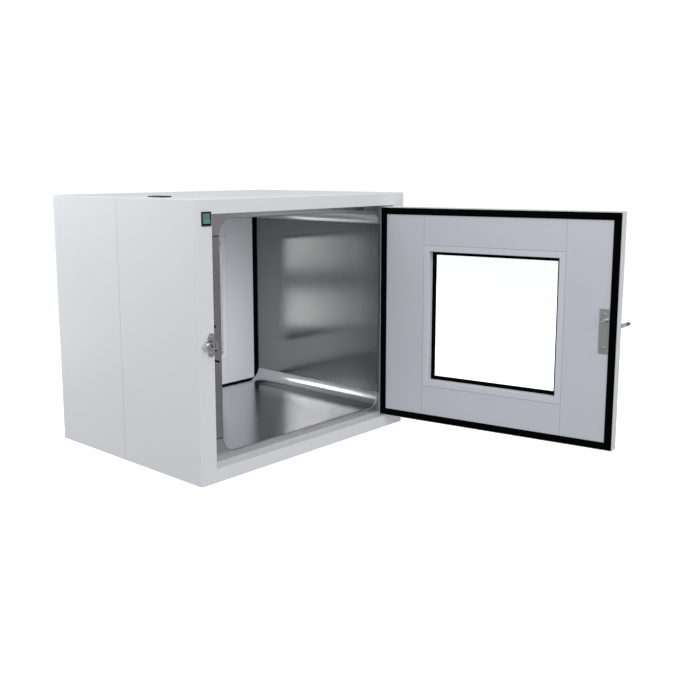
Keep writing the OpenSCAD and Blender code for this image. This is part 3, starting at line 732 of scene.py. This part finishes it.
class PASSBOX_OT_screws(PieceOperator, bpy.types.Operator):
    """Model one flat and one pan screw with cross recesses, and set them in keepers, latches and plates"""

    bl_idname = "passbox.screws"
    bl_label = "Screws"

    def execute(self, context):
        width = context.scene.passbox_parts.recess / MM
        flat = cross_screw("flat_screw", width=width, **FLAT_HEAD)
        pan = cross_screw("pan_screw", width=width, **PAN_HEAD)
        self.on_keepers(flat)
        self.on_inlet(flat)
        low, high = closed("latch_screws")
        spot, reach = self.row(low, high, "Z", FLAT_HEAD)
        spot.y = low.y + FLAT_HEAD["height"]
        pair = self.dressed("latch_screws", pair_of(flat, spot, reach, (24, 71)))
        both_ends(pair, "latch_screw_pair", "door", "latch_screws")
        low, high = closed("plate_screws")
        spot, reach = self.row(low, high, "Z", PAN_HEAD)
        spot.y = high.y - PAN_HEAD["height"]
        pair = self.dressed("plate_screws", pair_of(pan, spot, reach, (12, 50), 2))
        both_ends(pair, "plate_screw_pair", "door", "plate_screws")
        for screw in (flat, pan):
            bpy.data.objects.remove(screw)
        return {"FINISHED"}

    @staticmethod
    def row(low, high, axis, kind):
        """Middle of a row of screws between two corners, and the step from there to an end screw."""
        index = "XYZ".index(axis)
        reach = Vector((0, 0, 0))
        reach[index] = (high[index] - low[index]) / 2 - kind["radius"]
        return (low + high) / 2, reach

    def dressed(self, name, screws):
        """Several screws as one finished piece."""
        piece = joined(name, *screws)
        self.dress(piece, "bright_steel", 35)
        return piece

    def on_keepers(self, flat):
        low, high = corners("keeper_screws")
        spot, reach = self.row(low, high, "Z", FLAT_HEAD)
        turns = (8, 40)
        spot.y = low.y + FLAT_HEAD["height"]
        screws = pair_of(flat, spot, reach, turns)
        spot.y = high.y - FLAT_HEAD["height"]
        screws += pair_of(flat, spot, reach, turns, 2)
        tie(self.dressed("keeper_screw_set", screws), "cabinet", "keeper_screws")

    def on_inlet(self, flat):
        low, high = corners("inlet_screws")
        spot, reach = self.row(low, high, "Y", FLAT_HEAD)
        spot.z = high.z - FLAT_HEAD["height"]
        pair = self.dressed("inlet_screw_pair", pair_of(flat, spot, reach, (15, 62), -1, "X"))
        tie(pair, "cabinet", "inlet_screws")


class PASSBOX_OT_keepers(PieceOperator, bpy.types.Operator):
    """Model the cast keepers: eared plate, round-nosed housing, mouth for the tongue and two oval windows"""

    bl_idname = "passbox.keepers"
    bl_label = "Keepers"

    # Sizes in millimetres
    ear_r = 9.0
    plate_t = 2.5
    nose_r = 8.5
    housing_reach = 8.5
    face_r = 2.6
    wall = 4.5
    oval_w, oval_h, oval_sink = 2.3, 5.5, 5
    oval_shifts = (5, 14)

    def execute(self, context):
        low, high = corners("front_keeper")
        screw_low, screw_high = corners("keeper_screws")
        x = (screw_low.x + screw_high.x) / 2
        z = (low.z + high.z) / 2
        nose = low.x
        base = high.y - self.plate_t
        piece = rounded_box("keeper", (x - self.ear_r, base, low.z), (x + self.ear_r, high.y, high.z),
                            self.ear_r - HAIR, segments=12)
        housing = rounded_box("housing", (nose, low.y, z - self.nose_r),
                              (x + self.housing_reach, high.y, z + self.nose_r), self.nose_r - HAIR,
                              segments=12, test=lambda edge: centre_of(edge).x < (nose + 1) * MM)
        round_edges(housing, self.face_r, on_plane("Y", low.y), 4)
        add_to(piece, housing)
        mouth = nose + self.nose_r - 2
        cut(piece, box_shape("mouth", (mouth, low.y + self.wall, z - 20), (x + 20, base, z + 20)))
        for shift in self.oval_shifts:
            middle = nose + self.nose_r + shift
            oval = rounded_box("oval", (middle - self.oval_w, low.y - 2, z - self.oval_h),
                               (middle + self.oval_w, low.y + self.oval_sink, z + self.oval_h),
                               self.oval_w - 0.05, segments=6)
            cut(piece, oval)
        soften(piece, context.scene.passbox_parts.edge, 2)
        self.dress(piece, "satin_chrome")
        both_ends(piece, "keeper_casting", "cabinet", "keeper")
        return {"FINISHED"}


class PASSBOX_OT_latches(PieceOperator, bpy.types.Operator):
    """Model the latches: mounting plate, shoulder bolt, and lever with its tongue, handle and knob"""

    bl_idname = "passbox.latches"
    bl_label = "Latches"

    # Sizes in millimetres
    plate_t, plate_corner = 3, 6
    boss_r, bore_r = 12.5, 4.05
    head_r, head_t = 6.5, 4
    socket_r, socket_t = 2.9, 2.4
    shank_r = 4
    nut_r, nut_t = 7, 5
    hub_r = 11
    handle_l, handle_r, handle_t = 77, 10, 7
    handle_end_r, handle_taper = 7, 0.66
    knob_r, knob_l = 8, 10
    tongue_l, tongue_r, tongue_t = 47.8, 6, 4
    tongue_end_r, tongue_taper = 4.2, 0.7
    tongue_out = 4.5

    def execute(self, context):
        edge = context.scene.passbox_parts.edge
        low, high = closed("latch_base")
        x, z = (low.x + high.x) / 2, (low.z + high.z) / 2
        face = high.y
        base = rounded_box("base", (low.x, face - self.plate_t, low.z), (high.x, face, high.z),
                           self.plate_corner)
        add_to(base, rod_shape("boss", (x, 0, z), self.boss_r, low.y, face - 1))
        cut(base, rod_shape("bore", (x, 0, z), self.bore_r, low.y - 5, face + 5))
        soften(base, 1.5 * edge, 2)
        self.dress(base, "satin_chrome")
        both_ends(base, "latch_plate", "door", "latch_base")
        self.bolt(x, z)
        self.lever(x, z, face, edge)
        return {"FINISHED"}

    def bolt(self, x, z):
        low, high = closed("latch_bolt")
        head = rod_shape("bolt", (x, 0, z), self.head_r, low.y, low.y + self.head_t)
        round_edges(head, 1.4, on_plane("Y", low.y), 4)
        cut(head, rod_shape("socket", (x, 0, z), self.socket_r, low.y - 1, low.y + self.socket_t, sides=6))
        shank = rod_shape("shank", (x, 0, z), self.shank_r, low.y + self.head_t - 0.1, high.y, sides=32)
        round_edges(shank, 0.5, beyond("Y", high.y - 0.1), 2)
        nut = rod_shape("nut", (x, 0, z), self.nut_r, high.y - self.nut_t, high.y - 0.3, sides=6)
        soften(nut, 0.4 * MM, 2)
        piece = joined("bolt", head, shank, nut)
        self.dress(piece, "bright_steel")
        both_ends(piece, "latch_pivot", "door", "latch_bolt")

    def lever(self, x, z, face, edge):
        """Drawn latched, with the tongue towards -X, and then turned to its released place."""
        high = closed("latch_lever")[1]
        out = closed("latch_bolt")[0].y + self.head_t + 0.2
        knob_x = x + self.handle_l
        tip_x = x - self.tongue_l
        tongue_high = face - self.tongue_out
        tongue_low = tongue_high - self.tongue_t
        piece = rod_shape("lever", (x, 0, z), self.hub_r, out, high.y, sides=64)
        half = self.handle_r
        handle = box_shape("handle", (x, out, z - half), (knob_x, out + self.handle_t, z + half))
        self.taper(handle, knob_x, z, self.handle_taper)
        end = rod_shape("end", (knob_x, 0, z), self.handle_end_r, out, out + self.handle_t)
        knob = rod_shape("knob", (knob_x, 0, z), self.knob_r, out - self.knob_l, out + self.handle_t + 0.5)
        round_edges(knob, 2.5, lambda part: centre_of(part).y < (out - self.knob_l + 0.1) * MM, 5)
        half = self.tongue_r
        tongue = box_shape("tongue", (tip_x, tongue_low, z - half), (x, tongue_high, z + half))
        self.taper(tongue, tip_x, z, self.tongue_taper)
        tip = rod_shape("tip", (tip_x, 0, z), self.tongue_end_r, tongue_low, tongue_high, sides=32)
        for other in (handle, end, knob, tongue, tip):
            add_to(piece, other)
        cut(piece, rod_shape("bore", (x, 0, z), self.bore_r, out - 5, face))
        soften(piece, 2 * edge, 3)
        self.dress(piece, "satin_chrome")
        transformed(piece, about(Vector((x, 0, z)) * MM, Matrix.Rotation(LATCH_TURN, 4, "Y")))
        both_ends(piece, "latch_handle", "latch", "latch_lever")

    @staticmethod
    def taper(bar, end_x, z, share):
        """Narrows one end of a bar to a share of its width."""
        open_mesh(bar, "VERT")
        pick(bar, on_plane("X", end_x), "VERT")
        bpy.ops.transform.resize(value=(1, 1, share), center_override=(end_x * MM, 0, z * MM))
        shut_mesh()


class PASSBOX_OT_plates(PieceOperator, bpy.types.Operator):
    """Model the interlock plates: thin plate, open hole and slot, and the welded tab with its catch hole"""

    bl_idname = "passbox.plates"
    bl_label = "Interlock plates"

    # Sizes in millimetres
    sheet = 1.5
    corner = 2.5
    tab_up, tab_w, tab_half_t, tab_narrows = 25, 13, 1, 4
    hole_r = 1.95
    catch_r, catch_out = 3, 17
    weld_r = 0.8
    spare_x, spare_z = 8, 44
    slot_x, slot_z = (-9, -2), (2.5, 5.5)

    def execute(self, context):
        low, high = closed("interlock_plate")
        skin = closed("door_pan")[1].y
        x, z = (low.x + high.x) / 2, (low.z + high.z) / 2
        top = skin + self.sheet
        piece = rounded_box("plate", (low.x, skin, low.z), (high.x, top, high.z), self.corner)
        screws_low, screws_high = closed("plate_screws")
        reach = (screws_high.z - screws_low.z) / 2 - PAN_HEAD["radius"]
        for hole_x, hole_z in ((x, z + reach), (x, z - reach), (x + self.spare_x, z + self.spare_z)):
            cut(piece, rod_shape("hole", (hole_x, 0, hole_z), self.hole_r, skin - 3, top + 3, sides=32))
        tab_z = z + self.tab_up
        cut(piece, box_shape("slot", (x + self.slot_x[0], skin - 3, tab_z + self.slot_z[0]),
                             (x + self.slot_x[1], top + 3, tab_z + self.slot_z[1])))
        add_to(piece, self.tab(low.x, skin, top, high.y, tab_z))
        soften(piece, 0.22 * MM, 2)
        self.dress(piece, "plate_steel")
        both_ends(piece, "interlock_tab", "door", "interlock_plate")
        return {"FINISHED"}

    def tab(self, edge_x, skin, top, end, z):
        """The tab that reaches into the cabinet, with its free end narrowed from the outer side."""
        root = edge_x + self.tab_w
        piece = box_shape("tab", (edge_x, top - 0.5, z - self.tab_half_t), (root, end, z + self.tab_half_t))
        open_mesh(piece, "VERT")
        pick(piece, lambda vert: vert.co.y > (end - 1) * MM and vert.co.x < (root - 5) * MM, "VERT")
        bpy.ops.transform.translate(value=(self.tab_narrows * MM, 0, 0))
        shut_mesh()
        round_edges(piece, 1.5, lambda edge: parallel(edge, "Z") and centre_of(edge).y > (end - 1) * MM, 4)
        spot = (root - 4.5, skin + self.catch_out, 0)
        cut(piece, rod_shape("catch", spot, self.catch_r, z - 5, z + 5, "Z", 40))
        for side in (-1, 1):
            weld = rod_shape("weld", (0, top, z + side), self.weld_r, edge_x + 0.6, root - 0.6, "X", 12)
            add_to(piece, weld)
        return piece


class PASSBOX_OT_switch(PieceOperator, bpy.types.Operator):
    """Model the rocker switch: bezel with its body behind the panel, and the green rocker"""

    bl_idname = "passbox.switch"
    bl_label = "Rocker switch"

    # Sizes in millimetres
    bezel_corner, bezel_r = 2, 0.7
    body_w, body_h = 21.2, 25
    well_w, well_h, well_sink = 19.4, 23.2, 20
    rocker_w, rocker_h = 18.6, 21
    rocker_out, rocker_back = 7.6, 2.0
    hollow, back_taper = 1.8, 0.72
    axle_r, axle_reach = 1.45, 0.9
    rest_tilt = math.radians(-7)

    def execute(self, context):
        low, high = corners("switch_housing")
        x, z = (low.x + high.x) / 2, (low.z + high.z) / 2
        face = corners("front_casing")[0].y
        piece = rounded_box("bezel", (low.x, low.y, low.z), (high.x, face, high.z), self.bezel_corner)
        round_edges(piece, self.bezel_r, on_plane("Y", low.y), 3)
        half_w, half_h = self.body_w / 2, self.body_h / 2
        add_to(piece, box_shape("body", (x - half_w, face - 0.5, z - half_h),
                                (x + half_w, high.y, z + half_h)))
        half_w, half_h = self.well_w / 2, self.well_h / 2
        cut(piece, box_shape("well", (x - half_w, face - self.well_sink, z - half_h),
                             (x + half_w, face + 13, z + half_h)))
        soften(piece, 0.3 * MM, 2)
        self.dress(piece, "fitting_plastic")
        piece.name = "switch_bezel"
        tie(piece, "cabinet", "switch_housing")
        self.rocker(x, z)
        return {"FINISHED"}

    def rocker(self, x, z):
        """Drawn level, with its face folded inwards along the middle, and then tilted to its place."""
        pivot = Vector(JOINTS["rocker_tilt"]["pos_m"]) / MM
        half_w, half_h = self.rocker_w / 2, self.rocker_h / 2
        front, back = pivot.y - self.rocker_out, pivot.y + self.rocker_back
        piece = box_shape("rocker", (x - half_w, front, z - half_h), (x + half_w, back, z + half_h))
        open_mesh(piece)
        bpy.ops.mesh.select_all(action="SELECT")
        bpy.ops.mesh.bisect(plane_co=(0, 0, z * MM), plane_no=(0, 0, 1))
        fold = on_plane("Z", z)
        pick(piece, lambda vert: fold(vert) and vert.co.y < (front + 1) * MM, "VERT")
        bpy.ops.transform.translate(value=(0, self.hollow * MM, 0))
        pick(piece, beyond("Y", back - 0.1), "VERT")
        bpy.ops.transform.resize(value=(1, 1, self.back_taper), center_override=(x * MM, 0, z * MM))
        pick(piece, lambda part: part.normal.y < -0.9)
        bpy.ops.mesh.inset(thickness=1.2 * MM, depth=-0.25 * MM, use_boundary=True)
        shut_mesh()
        soften(piece, 0.25 * MM, 2, 20)
        reach = half_w + self.axle_reach
        axle = rod_shape("axle", (0, pivot.y, z), self.axle_r, x - reach, x + reach, "X", 24)
        piece = joined("rocker", piece, axle)
        self.dress(piece, "green_lens")
        tilt = Matrix.Rotation(self.rest_tilt, 4, "X")
        transformed(piece, about(Vector((x, pivot.y, z)) * MM, tilt))
        piece.name = "switch_lens"
        tie(piece, "rocker", "switch_rocker")


class PASSBOX_OT_inlet(PieceOperator, bpy.types.Operator):
    """Model the power inlet on the top: flange, keyed shroud and three blades"""

    bl_idname = "passbox.inlet"
    bl_label = "Power inlet"

    # Sizes in millimetres
    corner = 4
    body_w, body_l = 20, 28
    well_w, well_l, well_sink = 16, 24, 15
    screw_reach, hole_r = 20, 1.95
    blade_w, blade_t, blade_sink = 4, 2, 3
    blade_spots = ((-3, -7), (1, 0), (-3, 7))

    def execute(self, context):
        low, high = corners("power_inlet")
        x, y = (low.x + high.x) / 2, (low.y + high.y) / 2
        top = high.z
        roof = corners("front_casing")[1].z
        piece = rounded_box("inlet", (low.x, low.y, roof), (high.x, high.y, top), self.corner, "Z")
        round_edges(piece, 0.7, on_plane("Z", top), 3)
        half_w, half_l = self.body_w / 2, self.body_l / 2
        add_to(piece, box_shape("body", (x - half_w, y - half_l, low.z),
                                (x + half_w, y + half_l, roof + 0.5)))
        half_w, half_l = self.well_w / 2, self.well_l / 2
        keyed = rounded_box("shroud", (x - half_w, y - half_l, top - self.well_sink),
                            (x + half_w, y + half_l, top + 5), self.corner, "Z", 1, beyond("X", x))
        cut(piece, keyed)
        for side in (-1, 1):
            hole_y = y + side * self.screw_reach
            cut(piece, rod_shape("hole", (x, hole_y, 0), self.hole_r, roof - 5, top + 5, "Z", 32))
        soften(piece, 0.25 * MM, 2)
        wear(piece, bpy.data.materials["fitting_plastic"])
        piece = joined("inlet_shroud", piece, *self.blades(x, y, top))
        close_mesh(piece)
        tie(piece, "cabinet", "power_inlet")
        return {"FINISHED"}

    def blades(self, x, y, top):
        made = []
        half = Vector((self.blade_w / 2, self.blade_t / 2, 0))
        for shift_x, shift_y in self.blade_spots:
            foot = Vector((x + shift_x, y + shift_y, top - self.well_sink - 1))
            end = Vector((x + shift_x, y + shift_y, top - self.blade_sink))
            blade = box_shape("blade", foot - half, end + half)
            soften(blade, 0.35 * MM, 2)
            made.append(wear(blade, bpy.data.materials["bright_steel"]))
        return made


class PASSBOX_OT_shading(PieceOperator, bpy.types.Operator):
    """Give large flat faces even shading beside the rounded edges of every made piece"""

    bl_idname = "passbox.shading"
    bl_label = "Even shading"

    def execute(self, context):
        kept = {"floor", *frame["nodes"]}
        made = [piece for piece in bpy.data.objects if piece.type == "MESH" and piece.name not in kept]
        for piece in made:
            apply_modifier(piece, "WEIGHTED_NORMAL", keep_sharp=True, weight=80)
        return {"FINISHED"}


class PASSBOX_OT_stage(PieceOperator, bpy.types.Operator):
    """Set up the floor, the lights, the surroundings and the camera"""

    bl_idname = "passbox.stage"
    bl_label = "Stage"

    # The back lamps stand where the chamber's right wall mirrors them through the rear window.
    behind = (-1.546, 2.271)
    window = (-0.818, 1.585)

    def lamp(self, name, place, aim, width, height, power):
        """An area lamp that the camera doesn't see."""
        bpy.ops.object.light_add(type="AREA", location=place)
        lamp = bpy.context.object
        lamp.name = name
        lamp.data.shape = "RECTANGLE"
        lamp.data.size = width
        lamp.data.size_y = height
        lamp.data.energy = power
        lamp.rotation_euler = (Vector(aim) - Vector(place)).to_track_quat("-Z", "Y").to_euler()
        lamp.visible_camera = False
        return lamp

    def execute(self, context):
        scene = context.scene
        s = scene.passbox_stage
        self.floor(s)
        self.room(scene, s)
        self.lamp("overhead_light", (-0.5, -0.3, 3.0), (0, 0, 0), 3.4, 3.4, s.overhead)
        self.lamp("left_light", (-3.2, -0.8, 1.5), (0, 0, 0.3), 2.4, 2.2, s.left)
        self.lamp("front_light", (-0.4, -3.6, 1.5), (0.1, 0, 0.3), 2.4, 2.0, s.front)
        self.lamp("back_light", (*self.behind, 1.08), (*self.window, 1.08), 1.0, 1.24, s.back)
        self.lamp("back_strip", (*self.behind, 0.24), (*self.window, 0.24), 1.0, 0.36, s.strip)
        sheet = self.lamp("back_sheet", (-0.816, 1.591, 0.002), (-0.816, 1.591, 1), 1.2, 1.0, s.sheet)
        sheet.rotation_euler.z = math.radians(136)
        inner = self.lamp("chamber_light", (0, -0.2, 0.16), (0, 0.26, 0.16), 0.44, 0.16, s.inner)
        inner.visible_glossy = False
        scene.view_settings.view_transform = "Standard"
        self.camera(scene, s)
        return {"FINISHED"}

    def floor(self, s):
        choose()
        bpy.ops.mesh.primitive_plane_add(size=1, location=(0.7, -0.6, -0.0002))
        bpy.context.object.scale = (4.6, 4.6, 1)
        floor = made_as("floor")
        f = Finish("floor_paper")
        f.set(Base_Color=f.colour(f.noise(1.5, 2), shade(s.floor, 0.995), s.floor), Roughness=0.8,
              Emission_Color=(1, 1, 1), Emission_Strength=0.9)
        floor.data.materials.append(f.material)
        floor.visible_diffuse = False
        floor.visible_glossy = False

    def room(self, scene, s):
        """Surroundings that light the scene, polished steel and the camera each in their own strength."""
        world = bpy.data.worlds.new("surroundings")
        world.use_nodes = True
        scene.world = world
        nodes, links = world.node_tree.nodes, world.node_tree.links
        path = nodes.new("ShaderNodeLightPath")
        light = nodes["Background"]
        light.inputs["Color"].default_value = (*s.room, 1)
        result = light
        paper = (1.08, 1.08, 1.08)
        for ray, colour in (("Is Glossy Ray", s.mirrored), ("Is Camera Ray", paper)):
            seen = nodes.new("ShaderNodeBackground")
            seen.inputs["Color"].default_value = (*colour, 1)
            mix = nodes.new("ShaderNodeMixShader")
            links.new(path.outputs[ray], mix.inputs[0])
            links.new(result.outputs[0], mix.inputs[1])
            links.new(seen.outputs[0], mix.inputs[2])
            result = mix
        links.new(result.outputs[0], nodes["World Output"].inputs["Surface"])

    def camera(self, scene, s):
        bpy.ops.object.camera_add(location=s.spot)
        camera = bpy.context.object
        camera.name = "camera"
        yaw, pitch, roll = (math.radians(angle) for angle in (s.yaw, s.pitch, s.roll))
        ahead = Vector((math.sin(yaw) * math.cos(pitch), math.cos(yaw) * math.cos(pitch), -math.sin(pitch)))
        right = Vector((math.cos(yaw), -math.sin(yaw), 0))
        up = right.cross(ahead)
        turn = Matrix.Rotation(-roll, 3, ahead)
        right, up = turn @ right, turn @ up
        camera.matrix_world = Matrix.Translation(s.spot) @ Matrix((right, up, -ahead)).transposed().to_4x4()
        camera.data.sensor_width = SENSOR
        camera.data.lens = s.lens
        camera.data.shift_x, camera.data.shift_y = s.shift
        camera.data.clip_end = 100
        scene.camera = camera


class PASSBOX_PT_panel(bpy.types.Panel):
    """Lists the settings and the operators"""

    bl_idname = "PASSBOX_PT_panel"
    bl_label = "Pass Box"
    bl_space_type = "VIEW_3D"
    bl_region_type = "UI"
    bl_category = "Pass Box"

    def draw(self, context):
        for place, kind in SETTINGS.items():
            box = self.layout.box()
            for key in kind.__annotations__:
                box.prop(getattr(context.scene, place), key)
        for step in STEPS:
            self.layout.operator(step.bl_idname)


SETTINGS = {"passbox_paint": PaintSettings, "passbox_parts": PartSettings, "passbox_stage": StageSettings}
STEPS = (PASSBOX_OT_stage, PASSBOX_OT_finishes, PASSBOX_OT_gaskets, PASSBOX_OT_windows, PASSBOX_OT_screws,
         PASSBOX_OT_keepers, PASSBOX_OT_latches, PASSBOX_OT_plates, PASSBOX_OT_switch, PASSBOX_OT_inlet,
         PASSBOX_OT_shading)


def register():
    for kind in (*SETTINGS.values(), *STEPS, PASSBOX_PT_panel):
        bpy.utils.register_class(kind)
    for place, kind in SETTINGS.items():
        setattr(bpy.types.Scene, place, bpy.props.PointerProperty(type=kind))


def unregister():
    for place in SETTINGS:
        delattr(bpy.types.Scene, place)
    for kind in (PASSBOX_PT_panel, *reversed(STEPS), *reversed(SETTINGS.values())):
        bpy.utils.unregister_class(kind)


def main():
    register()
    for step in STEPS:
        area, name = step.bl_idname.split(".")
        getattr(getattr(bpy.ops, area), name)()


if __name__ == "__main__":
    main()
